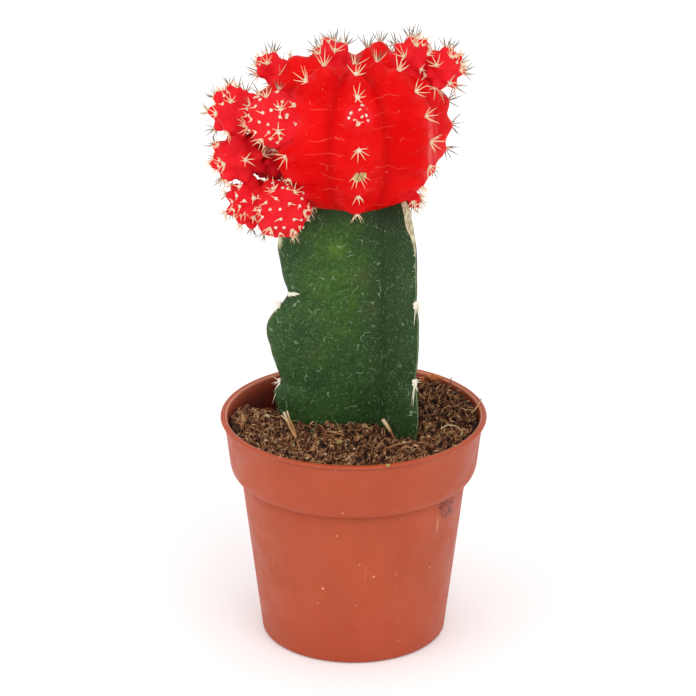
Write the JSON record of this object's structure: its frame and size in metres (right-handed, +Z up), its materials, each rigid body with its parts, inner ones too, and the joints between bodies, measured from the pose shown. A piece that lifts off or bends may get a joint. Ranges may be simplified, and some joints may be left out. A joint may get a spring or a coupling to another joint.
{
  "type": "potted moon cactus",
  "caption": "Grafted moon cactus: a red ribbed ball with knobbly offsets on a green three-winged stock, standing in soil in a tapered plastic nursery pot.",
  "frame": {"origin": "centre of the pot's flat underside, on the surface it stands on", "axes": "+Z up along the pot's axis, -Y towards the front, +X to the right seen from the front"},
  "size_m": [0.0582, 0.055, 0.1303],
  "materials": {
    "pot": "terracotta-coloured moulded plastic, soft sheen",
    "soil": "loose brown peat and coir fibre, matte",
    "rootstock": "dark green waxy plant skin with pale specks and corky margins",
    "scion": "bright red fleshy plant skin, faintly translucent, with cream spines",
    "straw": "dry straw"
  },
  "bodies": {
    "root": {"pot": "pot", "soil": "soil", "rootstock": "rootstock", "scion": "scion", "straw_left": "straw", "straw_right": "straw"}
  },
  "joints": []
}
